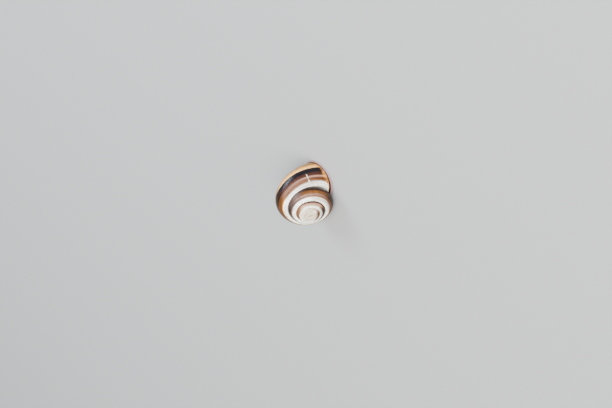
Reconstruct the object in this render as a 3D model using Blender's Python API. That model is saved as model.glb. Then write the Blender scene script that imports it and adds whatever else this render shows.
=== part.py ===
"""A banded land snail, withdrawn into its shell and resting mouth down on a flat surface.

The shell is a tube wound round a leaning axis.  Everything is first made in the shell's own
frame, apex up, and an empty then lays it over until the rim of the mouth lies flat on Z = 0.
phi is the angle wound along the tube: 0 at the upper end of the lip, negative towards the apex.
theta runs round the tube: 0 at the outermost point, 90 degrees towards the apex.
"""
import bpy
import bmesh
from math import atan2, cos, exp, log, pi, radians, sin
from mathutils import Euler, Matrix, Vector

MM = 0.001
TURN = 2 * pi

# Driving dimensions of the shell, in millimetres, for the tube at the lip.
WHORLS = 5                      # turns from the nucleus to the lip
GROWTH = 1.52                   # how much the tube widens in one turn
AXIS_REACH = 6.97               # tube centre to shell axis
TUBE_HALF_WIDTH = 5.45
TUBE_HALF_HEIGHT = 4.89
SPIRE_DROP = 10.5               # nucleus down to the tube centre
SPIRE_DOME = 1.36               # above 1 the spire is domed, at 1 it is a cone
LAST_DESCENT = 2.5              # extra drop of the tube as it nears the lip
LAST_SPREAD = 0.076             # share by which the tube moves out as it nears the lip
DESCENT_START = radians(-140)   # phi where the tube starts to descend
CORE = 0.45                     # radius kept clear round the axis at the lip
BASE_END = radians(-150)        # theta where the base turns in to the navel
WALL = 0.55
GAP = 0.2                       # clearance between neighbouring pieces
CLEAR_SIDE = radians(20)        # theta that is always clear of the whorl before
BURIED_SIDE = radians(175)      # theta that is always buried in it

# How the shell lies.
SHELL_LEAN = radians(48.2)      # axis away from the vertical
LIP_AZIMUTH = radians(-150.7)   # direction of the lip's upper end, seen from the apex
YAW = radians(90)
FLOOR_DISTANCE = 11.11          # nucleus to the floor plane
NUCLEUS = Vector((-1.516, -6.231, FLOOR_DISTANCE))   # centres the snail over the origin

# The lip.
LIP_HEIGHT = 0.75
LIP_FLARE = 0.84
LIP_THICKNESS = 0.4
LIP_TUCK = 0.15                 # rounding under the lip's outer edge
LIP_STATIONS = 40
LIP_START_BURIED = radians(8)   # how far the lip runs on past the suture before it is trimmed
LIP_END = radians(-170)         # theta where the lip ends on the navel
NAVEL_SPREAD = 1.1              # share by which the lip widens where it folds over the navel
NAVEL_SPREAD_SHARE = 0.2        # last share of the lip's length that widens

# The drawn-in body.
MOUTH_DEPTH = 2.4
SOLE_RECESS = 0.7
COLLAR_RECESS = 0.85
COLLAR_WIDTH = 1.3
PORE_RADIUS = 0.45
PORE_TUBE = 0.22
PORE_THETA = radians(50)

# Where the last whorl is divided, and how far the mouth's hollow runs, in phi.
BACK_END = radians(-240)
SIDE_END = radians(-120)
NAVEL_START = radians(0)        # from here the base tapers up over the navel, as a callus
NAVEL_END = radians(60)
NAVEL_CLOSING = 0.94            # share of the way up that the callus has tapered by its end
MOUTH_START = radians(-78)
MOUTH_END = radians(75)
SOLE_FOLD = radians(-32)        # phi of the fold across the sole
FOLD_GAP = radians(1.5)
BODY_END = radians(18)          # phi where the drawn-in body ends under the parietal wall
FAR = 20.0                      # reach of the cutters beyond the shell

RATE = log(GROWTH) / TURN


def growth(phi):
    return exp(RATE * phi)


def smooth(share):
    share = min(max(share, 0.0), 1.0)
    return share * share * (3 - 2 * share)


def settle(phi):
    """0 on the regular coil, rising smoothly to 1 at the lip."""
    return smooth(1 - phi / DESCENT_START)


def mix(start, end, share):
    return start[0] + (end[0] - start[0]) * share, start[1] + (end[1] - start[1]) * share


def tube(phi, inset=0.0):
    """Centre and half axes of the tube's section, in the plane (distance from axis, height)."""
    g = growth(phi)
    late = settle(phi)
    reach = AXIS_REACH * g * (1 + LAST_SPREAD * late)
    height = -SPIRE_DROP * g ** SPIRE_DOME - LAST_DESCENT * late
    return reach, height, TUBE_HALF_WIDTH * g - inset, TUBE_HALF_HEIGHT * g - inset


def on_tube(phi, theta, inset=0.0):
    reach, height, half_width, half_height = tube(phi, inset)
    return reach + half_width * cos(theta), height + half_height * sin(theta)


def outside(point, phi, inset=0.0):
    """Above 0 where a point of the section plane lies outside the tube."""
    reach, height, half_width, half_height = tube(phi, inset)
    return ((point[0] - reach) / half_width) ** 2 + ((point[1] - height) / half_height) ** 2 - 1


def crossing(phi, inset, previous_inset, clear, buried):
    """theta where the tube's section meets the whorl before it, between a clear and a buried one."""
    for _ in range(30):
        middle = (clear + buried) / 2
        if outside(on_tube(phi, middle, inset), phi - TURN, previous_inset) > 0:
            clear = middle
        else:
            buried = middle
    return (clear + buried) / 2


def theta_of(point, phi, inset=0.0):
    reach, height, half_width, half_height = tube(phi, inset)
    return atan2((point[1] - height) / half_height, (point[0] - reach) / half_width)


def steps(start, end, count):
    return [start + (end - start) * i / (count - 1) for i in range(count)]


def in_space(phi, point):
    azimuth = LIP_AZIMUTH - phi
    return Vector((point[0] * cos(azimuth), point[0] * sin(azimuth), point[1])) * MM


FLOOR_NORMAL = Vector((sin(SHELL_LEAN), 0.0, cos(SHELL_LEAN)))


def height_over_floor(point):
    return point.dot(FLOOR_NORMAL) + FLOOR_DISTANCE * MM


def whorl_section(phi, arc, roof, first):
    """Solid section of a whorl: its outer arc, then the underside of the whorl before it."""
    core = CORE * growth(phi)
    top = radians(90) if first else crossing(phi, 0.0, -GAP, CLEAR_SIDE, BURIED_SIDE)
    section = [on_tube(phi, theta) for theta in steps(top, BASE_END, arc)]
    section.append((core, section[-1][1]))
    if first:
        section.append((core, section[0][1]))
        return section
    before = phi - TURN
    start = theta_of(section[0], before, -GAP)
    ceiling = [on_tube(before, theta, -GAP) for theta in steps(start, BASE_END, arc)]
    ceiling.append((core, ceiling[-1][1]))
    closed = NAVEL_CLOSING * smooth((phi - NAVEL_START) / (NAVEL_END - NAVEL_START))
    section = [mix(low, high, closed) for low, high in zip(section, ceiling)]
    under = [on_tube(before, theta, -GAP) for theta in steps(BASE_END, start, roof)]
    return section + [ceiling[-1]] + under[:-1]


def mouth_section(phi, arc, roof, inset, clearance):
    """The room inside the tube: its wall's inner side, then the whorl that bulges into it."""
    before_inset = -clearance
    top = crossing(phi, inset, before_inset, radians(0), radians(150))
    end = crossing(phi, inset, before_inset, radians(-120), radians(-270))
    section = [on_tube(phi, theta, inset) for theta in steps(top, end, arc)]
    start = theta_of(section[-1], phi - TURN, before_inset)
    stop = theta_of(section[0], phi - TURN, before_inset)
    under = [on_tube(phi - TURN, theta, before_inset) for theta in steps(start, stop, roof)]
    return section + under[1:-1]


def collection(name):
    made = bpy.data.collections.new(name)
    bpy.context.scene.collection.children.link(made)
    return made


def finish(name, colour, roughness):
    material = bpy.data.materials.new(name)
    material.use_nodes = True
    shader = material.node_tree.nodes["Principled BSDF"]
    shader.inputs["Base Color"].default_value = (*colour, 1.0)
    shader.inputs["Roughness"].default_value = roughness
    shader.inputs["Metallic"].default_value = 0.0
    return material


def loft(name, rings, target, parent, material=None):
    """A closed solid through like rings of points, with flat caps at both ends."""
    form = bmesh.new()
    loops = [[form.verts.new(point) for point in ring] for ring in rings]
    count = len(loops[0])
    for near, far in zip(loops, loops[1:]):
        for i in range(count):
            j = (i + 1) % count
            form.faces.new((near[i], near[j], far[j], far[i]))
    form.faces.new(reversed(loops[0]))
    form.faces.new(loops[-1])
    bmesh.ops.recalc_face_normals(form, faces=form.faces)
    mesh = bpy.data.meshes.new(name)
    form.to_mesh(mesh)
    form.free()
    mesh.shade_smooth()
    mesh.set_sharp_from_angle(angle=radians(35))
    made = bpy.data.objects.new(name, mesh)
    target.objects.link(made)
    made.parent = parent
    if material:
        mesh.materials.append(material)
    return made


def slab(name, low, high):
    """A cutter box that spans the whole snail between two heights over the floor."""
    form = bmesh.new()
    bmesh.ops.create_cube(form, size=1.0)
    spread = 60 * MM
    size = (spread, spread, (high - low) * MM)
    bmesh.ops.scale(form, vec=size, verts=form.verts)
    bmesh.ops.translate(form, vec=(0, 0, (high + low) / 2 * MM), verts=form.verts)
    mesh = bpy.data.meshes.new(name)
    form.to_mesh(mesh)
    form.free()
    return as_cutter(bpy.data.objects.new(name, mesh))


def as_cutter(made):
    if made.name not in cutters.objects:
        cutters.objects.link(made)
    made.hide_render = True
    made.display_type = "WIRE"
    return made


def cut(made, cutter):
    modifier = made.modifiers.new("cut by " + cutter.name, "BOOLEAN")
    modifier.operation = "DIFFERENCE"
    modifier.solver = "EXACT"
    modifier.object = cutter


def wind(name, start, end, per_turn, arc, roof, material, first=False):
    """One length of the coil between two values of phi, short of each by half a gap.

    per_turn is the number of sections in a turn; arc and roof are points in each section.
    """
    reach, _, half_width, _ = tube(end)
    trim = GAP / 2 / (reach + half_width)
    count = max(4, round((end - start) / TURN * per_turn) + 1)
    phis = steps(start + trim, end - trim, count)
    rings = [[in_space(phi, p) for p in whorl_section(phi, arc, roof, first)] for phi in phis]
    return loft(name, rings, snail, axis, material)


def mouth_loft(name, start, end, inset, clearance, target, material=None):
    """A length of the room inside the tube, with its walls drawn in by inset."""
    rings = []
    for phi in steps(start, end, 16):
        rings.append([in_space(phi, p) for p in mouth_section(phi, 20, 9, inset, clearance)])
    return loft(name, rings, target, axis, material)


def lip_phi(theta, height):
    """phi where the tube's surface comes down to a height over the floor."""
    low = -2.4
    while height_over_floor(in_space(low, on_tube(low, theta))) > height * MM and low < 0.6:
        low += 0.05
    high = low
    low -= 0.05
    for _ in range(25):
        middle = (low + high) / 2
        if height_over_floor(in_space(middle, on_tube(middle, theta))) > height * MM:
            low = middle
        else:
            high = middle
    return (low + high) / 2


def rim(height, outset, stations):
    """The tube's edge at a height over the floor, moved out along the floor."""
    top = crossing(0.0, 0.0, -GAP, CLEAR_SIDE, BURIED_SIDE) + LIP_START_BURIED
    points = []
    for share in steps(0.0, 1.0, stations):
        theta = top + (LIP_END - top) * (share + smooth(share)) / 2
        phi = lip_phi(theta, height)
        points.append(in_space(phi, on_tube(phi, theta)))
    moved = []
    for i, point in enumerate(points):
        along = points[min(i + 1, stations - 1)] - points[max(i - 1, 0)]
        out = along.cross(FLOOR_NORMAL).normalized()
        to_go = 1 - i / (stations - 1)
        spread = NAVEL_SPREAD * smooth(1 - to_go / NAVEL_SPREAD_SHARE) if outset > 0 else 0
        moved.append(point + out * (outset * (1 + spread) * MM))
    return moved


def make_lip(material):
    """The thickened rim: flat below, rounded outside, its top meeting the tube's wall."""
    profile = [
        (0.0, -LIP_THICKNESS), (0.0, LIP_FLARE - LIP_TUCK), (LIP_TUCK, LIP_FLARE),
        (LIP_HEIGHT / 2, LIP_FLARE * 0.8), (LIP_HEIGHT, LIP_FLARE * 0.3), (LIP_HEIGHT, -LIP_THICKNESS),
    ]
    edges = [rim(height, outset, LIP_STATIONS) for height, outset in profile]
    return loft("lip", list(zip(*edges)), snail, axis, material)


def make_breathing_pore(material):
    """A small raised ring under the collar, near the upper end of the lip."""
    phi = lip_phi(PORE_THETA, COLLAR_RECESS)
    point = in_space(phi, on_tube(phi, PORE_THETA, WALL + GAP + COLLAR_WIDTH / 2))
    level = COLLAR_RECESS - GAP - PORE_TUBE
    point += FLOOR_NORMAL * (level * MM - height_over_floor(point))
    place = Matrix.LocRotScale(axis.location, axis.rotation_euler, None) @ point
    bpy.ops.mesh.primitive_torus_add(
        major_segments=18, minor_segments=6, location=place,
        major_radius=PORE_RADIUS * MM, minor_radius=PORE_TUBE * MM,
    )
    pore = bpy.context.object
    pore.name = "breathing_pore"
    bpy.context.collection.objects.unlink(pore)
    snail.objects.link(pore)
    pore.data.materials.append(material)
    pore.data.shade_smooth()


for old in list(bpy.data.objects):
    bpy.data.objects.remove(old, do_unlink=True)

snail = collection("banded_snail")
cutters = collection("cutters")

axis = bpy.data.objects.new("shell_axis", None)
snail.objects.link(axis)
axis.rotation_euler = Euler((0.0, -SHELL_LEAN, YAW))
axis.location = NUCLEUS * MM

PALE = (0.80, 0.74, 0.62)
OCHRE = (0.42, 0.20, 0.09)
DARK = (0.10, 0.055, 0.045)
LILAC = (0.55, 0.42, 0.40)
FLESH = (0.28, 0.24, 0.19)
PORE = (0.20, 0.17, 0.14)

# The coil from the apex down, one whorl to a piece, with the last whorl in three lengths.
wind("shell_nucleus", -WHORLS * TURN, -4 * TURN, 20, 12, 2, finish("worn_apex", PALE, 0.5), True)
wind("shell_whorl_2", -4 * TURN, -3 * TURN, 24, 12, 7, finish("second_whorl", PALE, 0.4))
wind("shell_whorl_3", -3 * TURN, -2 * TURN, 28, 14, 7, finish("third_whorl", OCHRE, 0.35))
wind("shell_whorl_4", -2 * TURN, -TURN, 32, 16, 8, finish("fourth_whorl", OCHRE, 0.3))

last_whorl = finish("last_whorl", DARK, 0.25)
back = wind("body_whorl_back", -TURN, BACK_END, 36, 19, 9, last_whorl)
wind("body_whorl_side", BACK_END, SIDE_END, 36, 19, 9, last_whorl)
mouth = wind("body_whorl_mouth", SIDE_END, NAVEL_END, 36, 19, 9, last_whorl)
cut(back, slab("floor_cut", -FAR, 0.0))

# The hollow behind the lip, as deep as the drawn-in body needs.
hollow = as_cutter(mouth_loft("hollow", MOUTH_START, MOUTH_END, WALL, GAP * 0.6, cutters))
cut(hollow, slab("hollow_top", MOUTH_DEPTH, FAR))
cut(mouth, hollow)
cut(mouth, slab("lip_cut", -FAR, LIP_HEIGHT + GAP))

# The whorl that the mouth closes against, as a cutter with clearance.
rings = []
for phi in steps(MOUTH_START - TURN, MOUTH_END - TURN, 24):
    rings.append([in_space(phi, on_tube(phi, theta, -GAP)) for theta in steps(-pi, pi, 37)[:-1]])
parietal = as_cutter(loft("parietal_cut", rings, cutters, axis))

lip = make_lip(finish("lip", LILAC, 0.35))
cut(lip, parietal)

# The drawn-in body: a mantle collar round the two folded halves of the foot's sole.
skin = finish("mantle", FLESH, 0.4)
plug_inset = WALL + GAP
plug_clearance = 2 * GAP
collar = mouth_loft("mantle_collar", MOUTH_START, BODY_END, plug_inset, plug_clearance, snail, skin)
sole_inset = plug_inset + COLLAR_WIDTH
sole_clearance = plug_clearance + COLLAR_WIDTH
sole_room = mouth_loft("sole_room", MOUTH_START, MOUTH_END, sole_inset, sole_clearance, cutters)
body_top = slab("body_top", MOUTH_DEPTH - GAP, FAR)
cut(collar, body_top)
cut(collar, slab("collar_below", -FAR, COLLAR_RECESS))
cut(collar, as_cutter(sole_room))

sole_below = slab("sole_below", -FAR, SOLE_RECESS)
halves = (("foot_front", MOUTH_START, SOLE_FOLD), ("foot_rear", SOLE_FOLD + FOLD_GAP, BODY_END))
for name, start, end in halves:
    sole = mouth_loft(name, start, end, sole_inset + GAP, sole_clearance + GAP, snail, skin)
    cut(sole, body_top)
    cut(sole, sole_below)

make_breathing_pore(finish("breathing_pore", PORE, 0.3))
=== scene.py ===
"""A banded land snail, withdrawn into its shell and resting mouth down on a plain pale floor."""
from math import cos, e, pi, radians, sin

import bmesh
import bpy
from mathutils import Euler, Matrix, Vector, noise as scatter


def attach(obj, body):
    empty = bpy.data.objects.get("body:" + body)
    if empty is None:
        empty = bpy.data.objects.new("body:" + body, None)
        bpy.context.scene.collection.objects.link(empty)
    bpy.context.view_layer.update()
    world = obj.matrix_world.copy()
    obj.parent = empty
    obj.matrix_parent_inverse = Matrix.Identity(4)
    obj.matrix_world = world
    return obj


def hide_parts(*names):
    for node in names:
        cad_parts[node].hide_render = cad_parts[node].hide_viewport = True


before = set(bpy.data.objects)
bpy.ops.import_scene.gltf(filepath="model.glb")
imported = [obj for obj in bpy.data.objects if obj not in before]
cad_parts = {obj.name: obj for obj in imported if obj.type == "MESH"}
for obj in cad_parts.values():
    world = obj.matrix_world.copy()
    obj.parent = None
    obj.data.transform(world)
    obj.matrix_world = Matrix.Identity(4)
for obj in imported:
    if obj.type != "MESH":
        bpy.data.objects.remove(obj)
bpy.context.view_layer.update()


# ---------------------------------------------------------------------------------------------
# Shell.  The real one is a single tube of chalk and horn, wound right-handed round an axis and
# half as wide again at each turn.  It is made here the same way: one closed ring of points is
# carried along the winding, rests on the whorl before it, and turns back into the mouth.
# ---------------------------------------------------------------------------------------------
MM = 0.001
TURN = 2 * pi

# Sizes in millimetres and degrees, for the tube at the upper end of the lip.  The winding is 0
# there and falls towards the apex.  The angle round the tube is 0 at its outermost point and
# rises towards the apex.
SHELL_SIZES = {
    "Whorls": 5.0,              # turns from the nucleus to the lip
    "Growth": 1.52,             # how much the tube widens in one turn
    "Axis Reach": 6.97,         # tube's centre to the shell's axis
    "Half Width": 5.45,
    "Half Height": 4.89,
    "Spire Drop": 10.5,         # nucleus down to the tube's centre
    "Spire Dome": 1.36,         # above 1 the spire is domed, at 1 it is a cone
    "Last Descent": 2.5,        # further drop of the tube as it nears the lip
    "Last Spread": 0.076,       # share by which the tube moves out as it nears the lip
    "Descent Start": -140.0,    # winding where the tube starts to descend
    "Nucleus Rounding": 60.0,   # winding that the tube takes to round up at the nucleus
    "Core": 0.12,               # radius of the columella
    "Base End": -150.0,         # angle where the base turns in to the axis
    "Free End": -175.0,         # the same at the lip, where the tube stands free of the axis
    "Free Start": -150.0,       # winding where that angle starts to change
    "Navel Start": -100.0,      # winding where the tube starts to come free
    "Lip End": 36.0,            # winding by which the mouth has ended all round
    "Lip Azimuth": -150.7,      # direction of the lip's upper end, seen from the apex
    "Lean": 48.2,               # axis away from the vertical
    "Floor Distance": 11.11,    # nucleus to the floor
    "Edge Height": 0.35,        # the shell's edge over the floor, under the lip
    "Wall": 0.5,
    "Overlap": 0.05,            # how deep a whorl is seated in the whorl before it
    "Callus": 0.06,             # glaze on the whorl before, inside the mouth
    "Mouth Depth": 2.5,
}
ANGLES = ("Descent Start", "Nucleus Rounding", "Base End", "Free End", "Free Start", "Navel Start",
          "Lip End", "Lip Azimuth", "Lean")
SHELL_YAW = radians(90)
NUCLEUS = Vector((-1.516, -6.231, SHELL_SIZES["Floor Distance"]))

ROWS_PER_TURN = 180
MOUTH_ROWS = 14
ARC_COLUMNS = 62
BASE_COLUMNS = 8
CEILING_COLUMNS = 11
CROWDING = 0.4                  # spacing of the columns at the suture, as a share of the mean
SHEAR_START = radians(-300)     # winding where the rows begin to slant towards the lip

EDGE_THIN_START = 0.75          # share of the arc from which the edge thins towards the columella
EDGE_THINNING = 0.85
CORE_RISE = 0.5                 # how far the columella reaches up into the whorl before
LIFT_START = 0.6                # share of the arc from which the edge may stand off the floor
LIFT_RUN = 0.2
LIFT_SOFTNESS = 1.4             # millimetres over which it leaves the floor
SEARCH_START = radians(-137)    # winding where the whole tube is still over the floor
HALVINGS = 22
TINY = 1e-5                     # keeps divisions away from zero
WELD = 1e-4                     # millimetres, which the trees work in
SLIVER = 0.01 * MM


class Term:
    """A number in a node tree.  Ordinary signs between terms make Math nodes."""

    def __init__(self, tree, socket):
        self.tree = tree
        self.socket = socket

    def __add__(self, other):
        return calculate("ADD", self, other)

    def __radd__(self, other):
        return calculate("ADD", other, self)

    def __sub__(self, other):
        return calculate("SUBTRACT", self, other)

    def __rsub__(self, other):
        return calculate("SUBTRACT", other, self)

    def __mul__(self, other):
        return calculate("MULTIPLY", self, other)

    def __rmul__(self, other):
        return calculate("MULTIPLY", other, self)

    def __truediv__(self, other):
        return calculate("DIVIDE", self, other)

    def __neg__(self):
        return calculate("MULTIPLY", self, -1.0)

    def __pow__(self, other):
        return calculate("POWER", self, other)


def calculate(operation, *terms):
    tree = next(term.tree for term in terms if isinstance(term, Term))
    node = tree.nodes.new("ShaderNodeMath")
    node.operation = operation
    for socket, term in zip(node.inputs, terms):
        if isinstance(term, Term):
            tree.links.new(term.socket, socket)
        else:
            socket.default_value = term
    return Term(tree, node.outputs[0])


def sine(term):
    return calculate("SINE", term)


def cosine(term):
    return calculate("COSINE", term)


def clamp(term):
    return calculate("MINIMUM", calculate("MAXIMUM", term, 0.0), 1.0)


def smooth(term):
    share = clamp(term)
    return share * share * (3.0 - 2.0 * share)


def mix(start, end, share):
    return start + (end - start) * share


def growth(shell, phi):
    """How wide the tube is at a winding, as a share of its width at the lip."""
    rate = calculate("LOGARITHM", shell["Growth"], e) / TURN
    return calculate("EXPONENT", rate * phi)


def presence(shell, phi):
    """0 before the shell begins, rising like the side of a ball to 1."""
    begun = clamp((phi + shell["Whorls"] * TURN) / shell["Nucleus Rounding"])
    return calculate("SQRT", 1.0 - (1.0 - begun) * (1.0 - begun))


def tube(shell, phi, inset):
    """Centre and half axes of the tube's section, across from the axis and up along it."""
    g = growth(shell, phi)
    late = smooth(1.0 - phi / shell["Descent Start"])
    reach = shell["Axis Reach"] * g * (1.0 + shell["Last Spread"] * late)
    height = -(shell["Spire Drop"] * g ** shell["Spire Dome"]) - shell["Last Descent"] * late
    full = g * presence(shell, phi)
    return reach, height, shell["Half Width"] * full - inset, shell["Half Height"] * full - inset


def section_point(section, theta):
    """Where an angle round the tube lies, across from the axis and up along it."""
    reach, height, half_width, half_height = section
    return reach + half_width * cosine(theta), height + half_height * sine(theta)


def section_angle(section, across, height):
    """The angle round the tube that a point lies at."""
    up = (height - section[1]) / calculate("MAXIMUM", section[3], TINY)
    out = (across - section[0]) / calculate("MAXIMUM", section[2], TINY)
    return calculate("ARCTAN2", up, out)


def meetings(section, before):
    """Angles where the tube meets the whorl before it: at the suture, and beside the axis."""
    across = (before[0] - section[0]) / calculate("MAXIMUM", section[2], TINY)
    up = (before[1] - section[1]) / calculate("MAXIMUM", section[3], TINY)
    radius = (before[2] + before[3]) / calculate("MAXIMUM", section[2] + section[3], TINY)
    distance = calculate("SQRT", across * across + up * up)
    cosine_of_spread = (1.0 + distance * distance - radius * radius) / (2.0 * distance)
    spread = calculate("ARCCOSINE", calculate("MINIMUM", cosine_of_spread, 1.0))
    towards = calculate("ARCTAN2", up, across)
    return towards - spread, towards + spread - TURN


def freed(shell, phi):
    """0 where the tube closes the base, 1 where it stands free of the navel beside the mouth."""
    return smooth(1.0 - phi / shell["Navel Start"])


def arc_angle(shell, phi, share, inside, whole=0.0):
    """The angle at a share of the way from the suture down to the base's end or, with the whole
    arc, on to where the tube meets the whorl before it again.  Gives both sections as well."""
    section = tube(shell, phi, shell["Wall"] * inside)
    before = tube(shell, phi - TURN, mix(shell["Overlap"], -shell["Callus"], inside))
    suture, beside_axis = meetings(section, before)
    base_end = mix(shell["Base End"], shell["Free End"], smooth(1.0 - phi / shell["Free Start"]))
    end = mix(base_end, beside_axis, whole)
    crowded = share * (CROWDING + (1.0 - CROWDING) * share)
    return mix(suture, end, crowded), section, before


def over_floor(shell, phi, across, height):
    """How high a point of the section stands once the shell is laid on the floor."""
    azimuth = shell["Lip Azimuth"] - phi
    level = across * cosine(azimuth) * sine(shell["Lean"]) + height * cosine(shell["Lean"])
    return level + shell["Floor Distance"]


def lift(shell, share, inside, whole=0.0):
    """How far the mouth's edge stands off the floor, where it nears the whorl before it."""
    theta, section, _ = arc_angle(shell, shell["Lip End"], share, inside, whole)
    reached = over_floor(shell, shell["Lip End"], *section_point(section, theta))
    raised = calculate("SMOOTH_MAX", reached, 0.0, LIFT_SOFTNESS)
    return raised * smooth((share - LIFT_START) / LIFT_RUN)


def winding_down_to(shell, share, inside, level, whole=0.0):
    """The winding where the tube's surface comes down to a level over the floor, by halving."""
    tree = shell["Growth"].tree
    start = tree.nodes.new("GeometryNodeRepeatInput")
    end = tree.nodes.new("GeometryNodeRepeatOutput")
    start.pair_with_output(end)
    end.repeat_items.clear()
    for name in ("Above", "Below"):
        end.repeat_items.new("FLOAT", name)
    start.inputs["Iterations"].default_value = HALVINGS
    start.inputs["Above"].default_value = SEARCH_START
    tree.links.new(shell["Lip End"].socket, start.inputs["Below"])
    above = Term(tree, start.outputs["Above"])
    below = Term(tree, start.outputs["Below"])
    middle = (above + below) / 2.0
    theta, section, _ = arc_angle(shell, middle, share, inside, whole)
    reached = over_floor(shell, middle, *section_point(section, theta))
    still_above = calculate("GREATER_THAN", reached, level)
    tree.links.new(mix(above, middle, still_above).socket, end.inputs["Above"])
    tree.links.new(mix(middle, below, still_above).socket, end.inputs["Below"])
    return (Term(tree, end.outputs["Above"]) + Term(tree, end.outputs["Below"])) / 2.0


def new_tree(name, sizes):
    """A Geometry Nodes tree with one named input for each size, and its terms by name."""
    tree = bpy.data.node_groups.new(name, "GeometryNodeTree")
    tree.interface.new_socket("Geometry", in_out="OUTPUT", socket_type="NodeSocketGeometry")
    for size in sizes:
        tree.interface.new_socket(size, in_out="INPUT", socket_type="NodeSocketFloat")
    entry = tree.nodes.new("NodeGroupInput")
    return tree, {size: Term(tree, entry.outputs[size]) for size in sizes}


def grid_of(tree, rows, columns):
    """A plain grid, with terms for the row and the column of each of its points."""
    grid = tree.nodes.new("GeometryNodeMeshGrid")
    grid.inputs["Vertices X"].default_value = rows
    grid.inputs["Vertices Y"].default_value = columns
    place = tree.nodes.new("ShaderNodeSeparateXYZ")
    tree.links.new(tree.nodes.new("GeometryNodeInputPosition").outputs[0], place.inputs[0])
    row = calculate("ROUND", (Term(tree, place.outputs["X"]) + 0.5) * (rows - 1.0))
    column = calculate("ROUND", (Term(tree, place.outputs["Y"]) + 0.5) * (columns - 1.0))
    return grid.outputs["Mesh"], row, column


def store(tree, mesh, name, term):
    """Keeps a term as a named attribute of the mesh's points."""
    node = tree.nodes.new("GeometryNodeStoreNamedAttribute")
    node.data_type = "FLOAT"
    node.domain = "POINT"
    node.inputs["Name"].default_value = name
    tree.links.new(mesh, node.inputs["Geometry"])
    tree.links.new(term.socket, node.inputs["Value"])
    return node.outputs["Geometry"]


def place_points(tree, mesh, x, y, z):
    """Moves each point of the mesh to its own place."""
    join = tree.nodes.new("ShaderNodeCombineXYZ")
    for socket, term in zip(join.inputs, (x, y, z)):
        tree.links.new(term.socket, socket)
    node = tree.nodes.new("GeometryNodeSetPosition")
    tree.links.new(mesh, node.inputs["Geometry"])
    tree.links.new(join.outputs[0], node.inputs["Position"])
    return node.outputs["Geometry"]


def close_tree(tree, mesh, material):
    """Welds the grid's meeting edges and ends the tree with real geometry and its material."""
    merge = tree.nodes.new("GeometryNodeMergeByDistance")
    merge.inputs["Distance"].default_value = WELD
    real = tree.nodes.new("GeometryNodeRealizeInstances")
    paint = tree.nodes.new("GeometryNodeSetMaterial")
    paint.inputs["Material"].default_value = material
    leave = tree.nodes.new("NodeGroupOutput")
    tree.links.new(mesh, merge.inputs["Geometry"])
    tree.links.new(merge.outputs["Geometry"], real.inputs["Geometry"])
    tree.links.new(real.outputs["Geometry"], paint.inputs["Geometry"])
    tree.links.new(paint.outputs["Geometry"], leave.inputs["Geometry"])


def grown(name, tree, sizes):
    """A plain mesh made by the tree, with lengths set in millimetres and angles in radians."""
    seed = bpy.data.objects.new(name + "_seed", bpy.data.meshes.new(name + "_seed"))
    bpy.context.scene.collection.objects.link(seed)
    modifier = seed.modifiers.new("grow", "NODES")
    modifier.node_group = tree
    for item in tree.interface.items_tree:
        if item.item_type == "SOCKET" and item.in_out == "INPUT":
            value = sizes[item.name]
            modifier[item.identifier] = radians(value) if item.name in ANGLES else value
    evaluated = seed.evaluated_get(bpy.context.evaluated_depsgraph_get())
    mesh = bpy.data.meshes.new_from_object(evaluated)
    mesh.name = name
    bpy.data.objects.remove(seed, do_unlink=True)
    made = bpy.data.objects.new(name, mesh)
    bpy.context.scene.collection.objects.link(made)
    return made


def lay_on_floor(made):
    """Leans the shell over from its own upright frame to the way that it lies."""
    lean = Euler((0.0, -radians(SHELL_SIZES["Lean"]), SHELL_YAW))
    made.data.transform(Matrix.LocRotScale(NUCLEUS * MM, lean, (MM, MM, MM)))


def close_and_smooth(made, sharp_angle):
    """Fills the open ends, turns the faces outwards and keeps only true edges sharp."""
    form = bmesh.new()
    form.from_mesh(made.data)
    bmesh.ops.dissolve_degenerate(form, dist=SLIVER, edges=form.edges)
    bmesh.ops.holes_fill(form, edges=form.edges, sides=0)
    bmesh.ops.recalc_face_normals(form, faces=form.faces)
    form.to_mesh(made.data)
    form.free()
    made.data.shade_smooth()
    made.data.set_sharp_from_angle(angle=sharp_angle)


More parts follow.
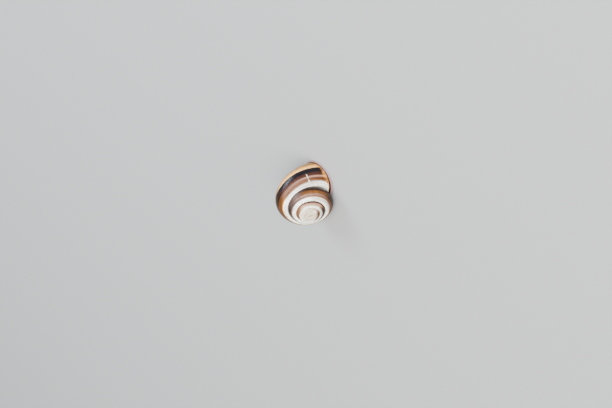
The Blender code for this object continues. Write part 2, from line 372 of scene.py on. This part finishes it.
def shell_tree(material):
    """Rows follow the winding and turn back into the mouth.  Columns run from the suture round
    the arc and the base to the axis, and back under the whorl before as the mouth's ceiling."""
    tree, shell = new_tree("shell", SHELL_SIZES)
    outer_rows = round(SHELL_SIZES["Whorls"] * ROWS_PER_TURN)
    columns = ARC_COLUMNS + BASE_COLUMNS + CEILING_COLUMNS
    mesh, row, column = grid_of(tree, outer_rows + MOUTH_ROWS + 1, columns + 1)
    inside = calculate("GREATER_THAN", row, outer_rows + 0.5)
    to_lip = calculate("MINIMUM", row / outer_rows - 1.0, 0.0) * shell["Whorls"] * TURN
    mouth_share = clamp((row - outer_rows - 1.0) / (MOUTH_ROWS - 1.0))

    ceiling_start = ARC_COLUMNS + BASE_COLUMNS
    on_seam = calculate("GREATER_THAN", column, columns - 0.5)
    arc_share = clamp(column / ARC_COLUMNS) * (1.0 - on_seam)
    base_share = clamp((column - ARC_COLUMNS) / (BASE_COLUMNS - 1.0))
    round_share = clamp((column - ARC_COLUMNS) / (BASE_COLUMNS - 2.0))
    at_core = calculate("GREATER_THAN", column, ceiling_start - 1.5)
    rise = clamp(column - (ceiling_start - 1.0))
    roofed = clamp(column - ceiling_start)
    ceiling_share = clamp((column - ceiling_start) / CEILING_COLUMNS)

    # The winding where each column ends at the mouth.
    no_arc = arc_share * 0.0
    whole_arc = no_arc + 1.0
    thin = EDGE_THINNING * smooth((arc_share - EDGE_THIN_START) / (1.0 - EDGE_THIN_START))
    edge = shell["Edge Height"] * (1.0 - thin)
    level = mix(edge, shell["Mouth Depth"], mouth_share)
    suture_level = mix(shell["Edge Height"], shell["Mouth Depth"], mouth_share)
    at_column = winding_down_to(shell, arc_share, inside, level + lift(shell, arc_share, inside))
    at_suture = winding_down_to(shell, no_arc, inside, suture_level)
    beside_level = level + lift(shell, whole_arc, inside, 1.0)
    at_beside = winding_down_to(shell, whole_arc, inside, beside_level, 1.0)
    past_arc = calculate("GREATER_THAN", column, ARC_COLUMNS + 0.5)
    past_base = mix(mix(at_column, at_beside, round_share), at_suture, ceiling_share)
    lip_winding = mix(at_column, past_base, past_arc)
    slant = smooth(1.0 - to_lip / SHEAR_START)
    phi = at_suture + to_lip + slant * (lip_winding - at_suture)

    theta, section, before = arc_angle(shell, phi, arc_share, inside)
    beside_axis = arc_angle(shell, phi, whole_arc, inside, 1.0)[0]
    arc = section_point(section, theta)
    top = section_point(section, arc_angle(shell, phi, no_arc, inside)[0])
    low = section_point(section, beside_axis)
    there = presence(shell, phi - TURN)
    core = shell["Core"] * growth(shell, phi)

    # The ceiling follows the whorl before, or the axis where there is none yet.
    before_low = mix(shell["Base End"], section_angle(before, *low), inside)
    before_top = section_angle(before, *top)
    ceiling = section_point(before, mix(before_low, before_top, ceiling_share))
    before_end = section_point(before, shell["Base End"])
    before_bend = before_end[1] - (before_end[0] - core) / 2.0 * cosine(shell["Base End"])
    core_top = mix(top[1], before_bend + CORE_RISE * growth(shell, phi), there)
    bare = (mix(core, top[0], ceiling_share), mix(core_top, top[1], ceiling_share))

    # The base bends in to the columella, and beside the mouth it stays on the tube instead.
    outer = 1.0 - inside
    half_way = (arc[0] - core) / 2.0
    bend_across = arc[0] + half_way * sine(theta)
    bend_height = arc[1] - half_way * cosine(theta)
    closed_across = mix(mix(arc[0], bend_across, base_share), mix(bend_across, core, base_share),
                        base_share)
    closed_height = mix(mix(arc[1], bend_height, base_share), bend_height, base_share)
    theta = mix(theta, beside_axis, round_share)
    free = section_point(section, theta)
    to_core = at_core * outer
    is_free = calculate("MAXIMUM", freed(shell, phi), inside)
    across = mix(closed_across, mix(free[0], core, to_core), is_free)
    height = mix(closed_height, mix(free[1], core_top, to_core), is_free)
    height = mix(height, core_top, rise * outer)
    across = mix(across, mix(bare[0], ceiling[0], there), roofed)
    height = mix(height, mix(bare[1], ceiling[1], there), roofed)
    across = mix(across, top[0], on_seam)
    height = mix(height, top[1], on_seam)

    azimuth = shell["Lip Azimuth"] - phi
    mesh = store(tree, mesh, "around", theta)
    mesh = store(tree, mesh, "winding", phi)
    mesh = store(tree, mesh, "from_lip", phi - lip_winding)
    mesh = store(tree, mesh, "inside", inside)
    mesh = place_points(tree, mesh, across * cosine(azimuth), across * sine(azimuth), height)
    close_tree(tree, mesh, material)
    return tree


def new_material(name, roughness):
    """The tree, the shader and the material itself."""
    material = bpy.data.materials.new(name)
    material.use_nodes = True
    shader = material.node_tree.nodes["Principled BSDF"]
    shader.inputs["Roughness"].default_value = roughness
    return material.node_tree, shader, material


def attribute(tree, name):
    """A number that the mesh keeps at each of its points."""
    node = tree.nodes.new("ShaderNodeAttribute")
    node.attribute_name = name
    return Term(tree, node.outputs["Fac"])


def noise(along, across, scale_along, scale_across, detail=3.0):
    """Soft random streaks, 0 to 1 about a half, with their own scale in each direction."""
    tree = along.tree
    join = tree.nodes.new("ShaderNodeCombineXYZ")
    tree.links.new((along * scale_along).socket, join.inputs["X"])
    tree.links.new((across * scale_across).socket, join.inputs["Y"])
    node = tree.nodes.new("ShaderNodeTexNoise")
    node.inputs["Scale"].default_value = 1.0
    node.inputs["Detail"].default_value = detail
    tree.links.new(join.outputs[0], node.inputs["Vector"])
    return Term(tree, node.outputs["Fac"])


def within(term, low, high, soft):
    """1 between two values and 0 outside them, with soft shoulders."""
    return smooth((term - low) / soft + 0.5) * smooth((high - term) / soft + 0.5)


def banded(position, bands):
    """A colour that changes with position, from stops of (position, colour)."""
    tree = position.tree
    first = bands[0][0]
    last = bands[-1][0]
    node = tree.nodes.new("ShaderNodeValToRGB")
    stops = node.color_ramp.elements
    while len(stops) < len(bands):
        stops.new(0.5)
    for stop, (place, colour) in zip(stops, bands):
        stop.position = (place - first) / (last - first)
        stop.color = (*colour, 1.0)
    tree.links.new(((position - first) / (last - first)).socket, node.inputs["Fac"])
    return node.outputs["Color"]


def painted(share, under, over, way="MIX"):
    """One colour laid over another by a share.  A plain colour or number may stand for any."""
    tree = share.tree if isinstance(share, Term) else under.id_data
    node = tree.nodes.new("ShaderNodeMix")
    node.data_type = "RGBA"
    node.blend_type = way
    if isinstance(share, Term):
        tree.links.new(share.socket, node.inputs["Factor"])
    else:
        node.inputs["Factor"].default_value = share
    for socket, colour in ((node.inputs[6], under), (node.inputs[7], over)):
        if isinstance(colour, tuple):
            socket.default_value = (*colour, 1.0)
        else:
            tree.links.new(colour, socket)
    return node.outputs[2]


def embossed(tree, shader, height, distance):
    """Relief on the surface, with its height given as a share of a distance."""
    node = tree.nodes.new("ShaderNodeBump")
    node.inputs["Strength"].default_value = 1.0
    node.inputs["Distance"].default_value = distance
    tree.links.new(height.socket, node.inputs["Height"])
    tree.links.new(node.outputs["Normal"], shader.inputs["Normal"])


# The shell's pigments, as linear colours.
CHALK = (0.88, 0.84, 0.73)
CREAM = (0.90, 0.50, 0.16)
STRAW = (0.93, 0.37, 0.055)
TAN = (0.30, 0.16, 0.035)
LILAC_BROWN = (0.23, 0.11, 0.070)
FAWN = (0.125, 0.040, 0.011)
RED_BROWN = (0.036, 0.010, 0.005)
OCHRE = (0.14, 0.052, 0.011)
AMBER = (0.10, 0.032, 0.003)
UMBER = (0.062, 0.024, 0.008)
# Dark brown greyed by a painted sheen.
GREY_BROWN_AND_SHEEN = (0.060, 0.040, 0.036)
PURPLE_BROWN = (0.014, 0.004, 0.003)
DARK_BROWN = (0.012, 0.005, 0.001)
NEAR_BLACK = (0.005, 0.004, 0.006)
ROSE = (0.34, 0.16, 0.10)
WORN = (0.56, 0.45, 0.31)

# Bands of colour by the angle round the tube, from the base up to the suture.
LAST_WHORL = [
    (-180, CREAM), (-118, CREAM), (-112, NEAR_BLACK), (-84, NEAR_BLACK), (-78, CREAM),
    (-60, CREAM), (-55, RED_BROWN), (-43, RED_BROWN), (-38, TAN), (-18, TAN), (-6, STRAW),
    (3, CREAM), (9, NEAR_BLACK), (24, NEAR_BLACK), (29, RED_BROWN), (38, RED_BROWN),
    (42, LILAC_BROWN), (46, LILAC_BROWN), (50, FAWN), (60, FAWN), (67, CHALK), (120, CHALK),
]
# The last whorl's far side, which turns down: darker, browner bands, and the cream under the dark
# band darkened to tan as painted shade.
LAST_WHORL_SIDE_AND_SHADE = [
    (-180, CREAM), (-118, CREAM), (-112, NEAR_BLACK), (-84, NEAR_BLACK), (-78, CREAM),
    (-60, CREAM), (-55, DARK_BROWN), (-43, DARK_BROWN), (-38, TAN), (-18, TAN), (-2, TAN),
    (6, DARK_BROWN), (31, DARK_BROWN), (37, UMBER), (42, AMBER), (54, AMBER), (59, CREAM),
    (64, CHALK), (120, CHALK),
]
WHORL_BEFORE = [
    (-180, PURPLE_BROWN), (8, PURPLE_BROWN), (15, OCHRE), (27, OCHRE), (36, LILAC_BROWN),
    (41, LILAC_BROWN), (46, FAWN), (50, LILAC_BROWN), (57, CHALK), (120, CHALK),
]
THIRD_WHORL = [
    (-180, PURPLE_BROWN), (29, PURPLE_BROWN), (34, ROSE), (48, ROSE), (58, WORN),
    (67, CHALK), (120, CHALK),
]
# Stretches of the winding where the brown bands run together and darken: the start, the end, and
# how far up towards the suture the dark and then the paler brown reach.
DARK_STRETCHES = ((-372, -316, 38, 61), (-560, -478, 46, 61), (-722, -640, 58, 69),
                  (-1075, -1000, 61, 72))
# Places where a shade lies over the bands: the winding from, to and how softly it ends, the angle
# from, to and how softly, the shade and how much of it shows.
SHADED_PLACES = (
    # The first place is partly the shell's dark brown and partly painted sheen, the grey of a
    # reflected sky.
    (-500.0, -440.0, 36.0, -90.0, 54.0, 12.0, GREY_BROWN_AND_SHEEN, 0.6),
    (-230.0, -150.0, 40.0, -40.0, 60.0, 14.0, UMBER, 0.6),
    (-905.0, -825.0, 40.0, 20.0, 70.0, 12.0, OCHRE, 0.9),
)
EARLY_SHADE = (-1085.0, -1000.0, 40.0, 40.0, 84.0, 16.0, OCHRE, 0.85)
DARK_SOFT = 40.0                # how softly the dark stretches end along the winding
DARK_SIDE_SOFT = 12.0           # and round the tube
PALER_SHARE = 0.85
WORN_SHARE = 0.9
BASE_SIDE = -90.0

# Where the bands of each part of the winding begin, and how softly.
LAST_WHORL_START = (-345.0, 30.0)
WHORL_BEFORE_START = (-660.0, 60.0)
# Back from here the far side's bands, with their painted shade, take over.
SIDE_AND_SHADE_END = (-112.0, 24.0)
WORN_END = (-1075.0, 60.0)

# The growth behind the lip, the scar, a painted highlight at the scar's upper end and the lining
# by the columella.  Each triple says from where, to where and how softly.
MOUTH_ZONE = 4.5
MOUTH_ZONE_ON_BROWN = 5.5       # how much wider it is on the brown bands
MOUTH_ZONE_FRAY = 6.0
MOUTH_ZONE_SOFT = 4.0
MOUTH_ZONE_SIDE = (-60.0, 68.0, 8.0)
BROWN_SIDE = (30.0, 75.0, 20.0)
MOTTLE_EDGE = (0.36, 0.3)
SCAR_SLANT = 0.166
SCAR_SWAY = 5.0
SCAR_LINE = (-69.2, -68.3, 0.6)
SCAR_SIDE = (31.0, 60.0, 5.0)
# A painted highlight at the scar's upper end:
HIGHLIGHT_SPOT_LINE = (-60.5, -58.0, 2.5)
HIGHLIGHT_SPOT_SIDE = (57.5, 61.0, 3.0)
LINING_START = (-16.0, 10.0)
LINING_SIDE = (-146.0, 16.0)

# The random patterns: their scale along the winding and round the tube, and their detail.
SWAY_GRAIN = (0.03, 0.01)
FRAY_GRAIN = (0.9, 0.05, 4.0)
MOTTLE_GRAIN = (0.8, 0.09, 4.0)
STREAK_GRAIN = (0.34, 0.02, 6.0)
FINE_GRAIN = (3.2, 0.03, 3.0)
THREAD_GRAIN = (0.012, 0.16, 5.0)
LINE_GRAIN = (4.5, 0.015, 2.0)
SWAY = 4.0                      # how far the bands wander
FRAY = 3.5                      # how far the growth lines pull at their edges
LINE_SLANT = 0.45               # how far growth lines lean as the lip does, away from it
LINE_SLANT_REACH = 60.0         # and within this of the lip they lean wholly
STREAK_SHADE = (0.25, 1.75)     # darkest and lightest
FINE_SHADE = (0.75, 1.25)
THREAD_SHADE = (-0.7, 2.7)
DARKEST_THREAD = 0.1
LINE_SHARE = 0.6                # of the relief; the streaks make the rest
LINE_HEIGHT = 0.05 * MM
GLOSSY = 0.24
CHALKY = 0.5


def beyond(term, edge):
    """0 up to an edge and 1 beyond it, given where it is and how softly it rises."""
    return smooth((term - edge[0]) / edge[1])


def short_of(term, edge):
    """0 from an edge on, rising to 1 short of it."""
    return smooth((edge[0] - term) / edge[1])


def shaded(winding, angle, under, start, end, end_soft, low, high, side_soft, shade, share):
    """A shade laid over one stretch of the winding and of the way round the tube."""
    place = within(winding, start, end, end_soft) * within(angle, low, high, side_soft)
    return painted(place * share, under, shade)


def banded_shell():
    tree, shader, material = new_material("banded_shell", 0.28)
    shader.inputs["IOR"].default_value = 1.29
    around = attribute(tree, "around") * (180 / pi)
    winding = attribute(tree, "winding") * (180 / pi)
    behind = attribute(tree, "from_lip") * (180 / pi)
    inside = attribute(tree, "inside")
    near_lip = smooth(behind / LINE_SLANT_REACH + 1.0)
    slanted = mix(winding, behind, LINE_SLANT + (1.0 - LINE_SLANT) * near_lip)

    # Bands, whorl by whorl.
    sway = noise(winding, around, *SWAY_GRAIN) - 0.5
    fray = noise(slanted, around, *FRAY_GRAIN) - 0.5
    angle = around + sway * SWAY + fray * FRAY
    # On the far side of the last whorl the darker bands carry painted shade on the cream.
    at_side_and_shade = short_of(winding, SIDE_AND_SHADE_END)
    last = painted(at_side_and_shade, banded(angle, LAST_WHORL), banded(angle, LAST_WHORL_SIDE_AND_SHADE))
    on_before = beyond(winding, WHORL_BEFORE_START)
    colour = painted(on_before, banded(angle, THIRD_WHORL), banded(angle, WHORL_BEFORE))
    colour = painted(beyond(winding, LAST_WHORL_START), colour, last)

    # Darker, greyer and ochre places (the greyer one partly painted sheen), the growth behind the
    # lip, the worn apex, the scar and a painted highlight at its upper end.
    for start, end, dark_top, brown_top in DARK_STRETCHES:
        stretch = within(winding, start, end, DARK_SOFT)
        paler = stretch * within(angle, BASE_SIDE, brown_top, DARK_SIDE_SOFT) * PALER_SHARE
        colour = painted(paler, colour, UMBER)
        darkest = stretch * within(angle, BASE_SIDE, dark_top, DARK_SIDE_SOFT)
        colour = painted(darkest, colour, DARK_BROWN)
    for place in SHADED_PLACES:
        colour = shaded(winding, angle, colour, *place)
    on_brown = within(around, *BROWN_SIDE)
    zone = MOUTH_ZONE + MOUTH_ZONE_ON_BROWN * on_brown + fray * MOUTH_ZONE_FRAY
    in_zone = smooth((behind + zone) / MOUTH_ZONE_SOFT) * within(around, *MOUTH_ZONE_SIDE)
    mottle = beyond(noise(behind, around, *MOTTLE_GRAIN), MOTTLE_EDGE)
    colour = painted(in_zone, colour, painted(mottle, UMBER, STRAW))
    worn = short_of(winding, WORN_END)
    colour = painted(worn * WORN_SHARE, colour, WORN)
    colour = shaded(winding, around, colour, *EARLY_SHADE)
    scar_line = winding - around * SCAR_SLANT + sway * SCAR_SWAY
    scar = within(scar_line, *SCAR_LINE) * within(around, *SCAR_SIDE)
    # A white spot at the scar's upper end is a painted highlight.
    highlight_spot = within(winding, *HIGHLIGHT_SPOT_LINE) * within(around, *HIGHLIGHT_SPOT_SIDE)
    colour = painted(calculate("MAXIMUM", scar, highlight_spot), colour, CHALK)

    # Growth streaks and spiral threads shade it all, and the lining hides it in the mouth.
    streaks = noise(slanted, around, *STREAK_GRAIN)
    fine = noise(slanted, around, *FINE_GRAIN)
    threads = mix(*THREAD_SHADE, noise(winding, angle, *THREAD_GRAIN))
    threads = calculate("MAXIMUM", threads, DARKEST_THREAD)
    shade = mix(*STREAK_SHADE, streaks) * mix(*FINE_SHADE, fine) * threads
    grey = tree.nodes.new("ShaderNodeCombineColor")
    for socket in grey.inputs:
        tree.links.new(shade.socket, socket)
    colour = painted(1.0, colour, grey.outputs[0], "MULTIPLY")
    lining = beyond(behind, LINING_START) * short_of(around, LINING_SIDE)
    colour = painted(calculate("MAXIMUM", inside, lining), colour, LILAC_BROWN)
    tree.links.new(colour, shader.inputs["Base Color"])

    lines = noise(slanted, around, *LINE_GRAIN)
    relief = lines * LINE_SHARE + streaks * (1.0 - LINE_SHARE)
    embossed(tree, shader, relief, LINE_HEIGHT)
    tree.links.new(mix(GLOSSY, CHALKY, worn).socket, shader.inputs["Roughness"])
    return material


shell = grown("shell", shell_tree(banded_shell()), SHELL_SIZES)
lay_on_floor(shell)

# The belly of the last whorl is worn flat where it touches the floor.
for point in shell.data.vertices:
    point.co.z = max(point.co.z, 0.0)
close_and_smooth(shell, sharp_angle=radians(50))
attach(shell, "root")
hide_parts("shell_nucleus", "shell_whorl_2", "shell_whorl_3", "shell_whorl_4",
            "body_whorl_back", "body_whorl_side", "body_whorl_mouth")


# ---------------------------------------------------------------------------------------------
# Lip.  A grown snail turns the edge of its mouth outwards as a hard glossy brim, thick inside
# and thin at the rim, which lies flat on what the snail rests on.  It is a closed profile
# carried round the mouth, and it spreads at its end as a callus over the navel.
# ---------------------------------------------------------------------------------------------
LIP_SIZES = {
    **SHELL_SIZES,
    "Lip Height": 0.85,         # at the inner side
    "Lip Flare": 0.84,          # how far the brim turns out
    "Outer Flare": 0.5,         # and how much further along its outer part
    "Lip Rim": 0.2,             # thickness of the brim
    "Lip Inside": 0.62,         # how far it reaches in under the shell's edge
    "Navel Spread": 1.2,        # share by which it widens over the navel
    "Navel Share": 0.3,         # last share of its length that widens
    "Navel Lift": 0.9,          # how far it is folded up against the base there
}
LIP_ROWS = 170
LIP_COLUMNS = 22
LIP_START = -0.04               # shares of the arc between which the lip runs: both its ends are
LIP_STOP = 1.02                 # inside the whorl before it
LIP_STEP = 0.008                # share of the arc over which its direction is measured
START_TAPER = 0.08
STOP_TAPER = 0.12
FLARE_RISE = 0.16               # the outer part's flare comes up over this share of the arc
FLARE_STOP = 0.6                # and has died away here
FLARE_FALL = 0.35
WALL_CURVE = 1.7                # above 1 the inner side rises hollow


def rim_point(lip, share, level):
    """Where the outside of the mouth's edge is at a level, at a share of the whole arc."""
    inside = share * 0.0
    phi = winding_down_to(lip, share, inside, level, 1.0)
    theta, section, _ = arc_angle(lip, phi, share, inside, 1.0)
    across, height = section_point(section, theta)
    azimuth = lip["Lip Azimuth"] - phi
    return across * cosine(azimuth), across * sine(azimuth), height


def lip_tree(material):
    """Rows follow the mouth's edge, and columns go round the brim's own section."""
    tree, lip = new_tree("lip", LIP_SIZES)
    mesh, row, column = grid_of(tree, LIP_ROWS, LIP_COLUMNS + 1)
    share = LIP_START + (LIP_STOP - LIP_START) * row / (LIP_ROWS - 1.0)
    turned = column * (TURN / LIP_COLUMNS)
    out = 0.5 + 0.5 * cosine(turned)
    upper = calculate("MAXIMUM", sine(turned), 0.0)
    brim = lip["Lip Rim"] * (0.5 + 0.5 * sine(turned))
    wall_height = lip["Lip Height"] - lip["Lip Rim"]
    wall = calculate("SQRT", upper) * (1.0 - out) ** WALL_CURVE * wall_height
    to_go = LIP_STOP - share
    thinned = smooth((share - LIP_START) / START_TAPER) * smooth(to_go / STOP_TAPER)
    level = lift(lip, share, share * 0.0, 1.0) + brim + wall * thinned
    over_navel = smooth(1.0 - to_go / lip["Navel Share"])
    spread = thinned * (1.0 + lip["Navel Spread"] * over_navel)
    outermost = smooth((share - LIP_START) / FLARE_RISE) * smooth((FLARE_STOP - share) / FLARE_FALL)
    flare = lip["Lip Flare"] + lip["Outer Flare"] * outermost
    outset = flare * spread * out - lip["Lip Inside"] * (1.0 - out) * thinned
    raised = lip["Navel Lift"] * over_navel * thinned * out * out

    # Outwards is level, and square to the way that the edge runs.
    x, y, z = rim_point(lip, share, level)
    back = rim_point(lip, share - LIP_STEP, level)
    ahead = rim_point(lip, share + LIP_STEP, level)
    along = [end - start for start, end in zip(back, ahead)]
    leaning = sine(lip["Lean"])
    upright = cosine(lip["Lean"])
    side = (along[1] * upright, along[2] * leaning - along[0] * upright, -(along[1] * leaning))
    length = calculate("SQRT", side[0] * side[0] + side[1] * side[1] + side[2] * side[2])
    moved = outset / length
    mesh = store(tree, mesh, "across_lip", out)
    mesh = store(tree, mesh, "along_lip", share)
    x = x + side[0] * moved + leaning * raised
    z = z + side[2] * moved + upright * raised
    mesh = place_points(tree, mesh, x, y + side[1] * moved, z)
    close_tree(tree, mesh, material)
    return tree


LILAC_GREY = (0.28, 0.20, 0.21)
CLOUD_GRAIN = (40.0, 2.0, 4.0)  # scale along the lip and across it, and detail
CLOUD_SHIFT = 10.0
GRIT_GRAIN = (90.0, 1.0)
GRIT_HEIGHT = 0.03 * MM

# Shades across the brim, in hundredths of its width from its inner side out.
BRIM = [
    (0, WORN), (34, ROSE), (40, OCHRE), (46, PURPLE_BROWN), (58, RED_BROWN),
    (66, LILAC_BROWN), (74, LILAC_GREY), (97, LILAC_GREY), (100, FAWN),
]


def glazed_lip():
    tree, shader, material = new_material("glazed_lip", 0.2)
    shader.inputs["Coat Weight"].default_value = 0.5
    across = attribute(tree, "across_lip")
    along = attribute(tree, "along_lip")
    cloud = noise(along, across, *CLOUD_GRAIN)
    position = across * 100.0 + (cloud - 0.5) * CLOUD_SHIFT
    tree.links.new(banded(position, BRIM), shader.inputs["Base Color"])
    embossed(tree, shader, noise(along, across, *GRIT_GRAIN), GRIT_HEIGHT)
    return material


lip = grown("lip_rim", lip_tree(glazed_lip()), LIP_SIZES)
lay_on_floor(lip)
close_and_smooth(lip, sharp_angle=radians(70))
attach(lip, "root")
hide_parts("lip")


# ---------------------------------------------------------------------------------------------
# Body.  The snail has drawn itself in, so only moist flesh shows in the mouth: the mantle's
# collar, the foot's sole folded across it and the breathing pore.  It is one skin, grown over
# the solids of those parts.
# ---------------------------------------------------------------------------------------------
SKIN_VOXEL = 0.12 * MM
SKIN_WELD = 0.001 * MM
JOIN_LEVEL = 1.15 * MM          # above this height the parts swell until they meet
JOIN_SWELL = 0.16 * MM
SMOOTHING_ROUNDS = 4
WARTS_PER_MM = 1.7
WART_HEIGHT = 0.08 * MM
WART_SLOPE = 1.6
GRAINS_PER_MM = 3.4
GRAIN_SLOPE = 3.0
GRAIN_HEIGHT = 0.06 * MM
CLOUDS_PER_MM = 0.5
SLATE_EDGE = (0.42, 0.22)       # where clouds turn slate-grey, and how softly
WETTEST = 0.22
DRIEST = 0.42
SOLE = (0.21, 0.15, 0.085)
SLATE = (0.085, 0.068, 0.052)
GROOVE = (0.060, 0.040, 0.024)


def drawn_in_body():
    """One skin over the four parts, with low warts pushed up from it."""
    form = bmesh.new()
    for name in ("mantle_collar", "foot_front", "foot_rear", "breathing_pore"):
        form.from_mesh(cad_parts[name].data)
    bmesh.ops.remove_doubles(form, verts=form.verts, dist=SKIN_WELD)
    bmesh.ops.recalc_face_normals(form, faces=form.faces)
    bmesh.ops.subdivide_edges(form, edges=form.edges, cuts=2, use_grid_fill=True)
    form.normal_update()
    for point in form.verts:
        if point.co.z > JOIN_LEVEL:
            point.co += point.normal * JOIN_SWELL
    mesh = bpy.data.meshes.new("drawn_in_body")
    form.to_mesh(mesh)
    form.free()
    made = bpy.data.objects.new("drawn_in_body", mesh)
    bpy.context.scene.collection.objects.link(made)
    remesh = made.modifiers.new("one skin", "REMESH")
    remesh.mode = "VOXEL"
    remesh.voxel_size = SKIN_VOXEL
    relax = made.modifiers.new("relax", "SMOOTH")
    relax.iterations = SMOOTHING_ROUNDS
    evaluated = made.evaluated_get(bpy.context.evaluated_depsgraph_get())
    skin = bpy.data.meshes.new_from_object(evaluated)
    made.modifiers.clear()
    made.data = skin
    normals = [point.normal.copy() for point in skin.vertices]
    for point, normal in zip(skin.vertices, normals):
        nearest, second = scatter.voronoi(point.co * (WARTS_PER_MM / MM))[0][:2]
        point.co += normal * (WART_HEIGHT * min(WART_SLOPE * (second - nearest), 1.0))
    skin.shade_smooth()
    return made


def moist_flesh():
    tree, shader, material = new_material("moist_flesh", 0.3)
    shader.inputs["Coat Weight"].default_value = 0.35
    shader.inputs["Coat Roughness"].default_value = 0.12
    place = tree.nodes.new("ShaderNodeTexCoord").outputs["Object"]
    grains = tree.nodes.new("ShaderNodeTexVoronoi")
    grains.feature = "DISTANCE_TO_EDGE"
    grains.inputs["Scale"].default_value = GRAINS_PER_MM / MM
    clouds = tree.nodes.new("ShaderNodeTexNoise")
    clouds.inputs["Scale"].default_value = CLOUDS_PER_MM / MM
    clouds.inputs["Detail"].default_value = 4.0
    for node in (grains, clouds):
        tree.links.new(place, node.inputs["Vector"])
    grain = clamp(Term(tree, grains.outputs["Distance"]) * GRAIN_SLOPE)
    cloud = Term(tree, clouds.outputs["Fac"])
    colour = painted(grain, GROOVE, SOLE)
    colour = painted(beyond(cloud, SLATE_EDGE), colour, SLATE)
    tree.links.new(colour, shader.inputs["Base Color"])
    tree.links.new(mix(WETTEST, DRIEST, cloud).socket, shader.inputs["Roughness"])
    embossed(tree, shader, grain, GRAIN_HEIGHT)
    return material


body = drawn_in_body()
body.data.materials.clear()
body.data.materials.append(moist_flesh())
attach(body, "root")
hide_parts("mantle_collar", "foot_front", "foot_rear", "breathing_pore")


# ---------------------------------------------------------------------------------------------
# Floor, light and camera.  The snail rests on a wide, pale, plain floor under three soft panels.
# The camera looks down on it from the side of the mouth, and is rolled well over.
# ---------------------------------------------------------------------------------------------
FLOOR_SIZE = 3.0
bpy.ops.mesh.primitive_plane_add(size=FLOOR_SIZE)
floor = bpy.context.object
floor.name = "floor"
_, floor_shader, floor_finish = new_material("pale_floor", 0.7)
floor_shader.inputs["Base Color"].default_value = (0.31, 0.305, 0.295, 1.0)
floor.data.materials.append(floor_finish)

CAMERA_AZIMUTH = radians(-32.41)
CAMERA_ELEVATION = radians(33.74)
CAMERA_ROLL = radians(-127.74)
CAMERA_DISTANCE = 0.468
AIM_LEFT = 1.30 * MM            # from the nucleus to the middle of the view
AIM_UP = 4.33 * MM
towards_camera = Vector((
    cos(CAMERA_ELEVATION) * cos(CAMERA_AZIMUTH),
    cos(CAMERA_ELEVATION) * sin(CAMERA_AZIMUTH),
    sin(CAMERA_ELEVATION),
))
level_right = Vector((-sin(CAMERA_AZIMUTH), cos(CAMERA_AZIMUTH), 0.0))
view_up = Matrix.Rotation(CAMERA_ROLL, 3, towards_camera) @ towards_camera.cross(level_right)
view_right = view_up.cross(towards_camera)
aim = NUCLEUS * MM - view_right * AIM_LEFT + view_up * AIM_UP
camera_data = bpy.data.cameras.new("camera")
camera_data.lens = 85.0
camera_data.sensor_width = 36.0
camera_data.clip_start = 0.01
camera = bpy.data.objects.new("camera", camera_data)
bpy.context.scene.collection.objects.link(camera)
turn = Matrix((view_right, view_up, towards_camera)).transposed()
camera.matrix_world = Matrix.Translation(aim + towards_camera * CAMERA_DISTANCE) @ turn.to_4x4()
bpy.context.scene.camera = camera


def soft_light(name, direction, distance, size, power, colour=(1.0, 1.0, 1.0)):
    """A square panel that faces the snail from a direction."""
    data = bpy.data.lights.new(name, "AREA")
    data.size = size
    data.energy = power
    data.color = colour
    light = bpy.data.objects.new(name, data)
    bpy.context.scene.collection.objects.link(light)
    light.location = Vector(direction).normalized() * distance
    light.rotation_euler = light.location.to_track_quat("Z", "Y").to_euler()


SKY_BLUE = (0.75, 0.85, 1.0)
soft_light("overhead_panel", (0.25, -0.35, 1.0), distance=0.9, size=1.1, power=26.0)
soft_light("sky_panel", (0.50, 0.62, 0.55), distance=0.8, size=0.30, power=9.0, colour=SKY_BLUE)
soft_light("fill_panel", (0.55, -0.9, 0.45), distance=1.0, size=0.9, power=12.0)
world = bpy.data.worlds.new("studio")
world.use_nodes = True
background = world.node_tree.nodes["Background"]
background.inputs["Color"].default_value = (0.85, 0.92, 1.0, 1.0)
background.inputs["Strength"].default_value = 0.8
bpy.context.scene.world = world
